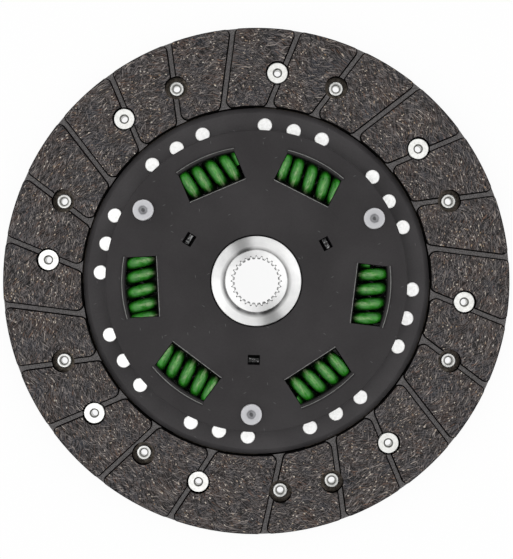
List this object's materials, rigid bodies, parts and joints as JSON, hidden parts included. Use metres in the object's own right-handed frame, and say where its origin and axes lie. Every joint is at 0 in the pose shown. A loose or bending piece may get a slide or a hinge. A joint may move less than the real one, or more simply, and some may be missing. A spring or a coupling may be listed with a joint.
{
  "type": "clutch disc",
  "caption": "Dry clutch disc: two grooved friction rings riveted to waved spring segments around a splined hub that is cushioned by coil springs.",
  "frame": {"origin": "centre of the disc's underside, in the plane of the rear friction face that it rests on", "axes": "+Z along the disc's axis towards the gearbox side with the longer boss; +X to the right and +Y upwards in the picture"},
  "size_m": [0.228, 0.228, 0.0236],
  "materials": {
    "friction_lining": "matte, fibre-reinforced",
    "tubular_rivet": "zinc plated",
    "solid_rivet": "zinc plated",
    "black_plate": "black phosphated",
    "hub_steel": "turned and bright",
    "friction_ring": "matte",
    "spring_steel": "hardened and tempered, oil-brown",
    "bush_plastic": "moulded",
    "pin_steel": "brushed",
    "green_spring": "green lacquer"
  },
  "bodies": {
    "lined_plates": {"front_facing": "friction_lining", "rear_facing": "friction_lining", "front_facing_rivets": "tubular_rivet", "rear_facing_rivets": "tubular_rivet", "segment_rivets": "solid_rivet", "drive_plate": "black_plate", "cover_plate": "black_plate", "front_friction_ring": "friction_ring", "spring_washer": "spring_steel", "rear_friction_ring": "friction_ring", "centring_bush": "bush_plastic", "cushion_segment_1": "spring_steel", "cushion_segment_2": "spring_steel", "cushion_segment_3": "spring_steel", "cushion_segment_4": "spring_steel", "cushion_segment_5": "spring_steel", "cushion_segment_6": "spring_steel", "cushion_segment_7": "spring_steel", "cushion_segment_8": "spring_steel", "stop_pin_1": "pin_steel", "stop_pin_2": "pin_steel", "stop_pin_3": "pin_steel", "torsion_spring_1": "green_spring", "torsion_spring_2": "green_spring", "torsion_spring_3": "green_spring", "torsion_spring_4": "green_spring", "torsion_spring_5": "green_spring", "torsion_spring_6": "green_spring"},
    "splined_hub": {"hub": "hub_steel"}
  },
  "joints": [
    {"name": "damper_twist", "type": "hinge", "parent": "lined_plates", "child": "splined_hub", "pos_m": [0, 0, 0.0102], "axis": [0, 0, 1], "range_deg": [-5, 5], "stiffness_Nm_per_rad": 15, "deforming": ["torsion_spring_1", "torsion_spring_2", "torsion_spring_3", "torsion_spring_4", "torsion_spring_5", "torsion_spring_6"]}
  ]
}
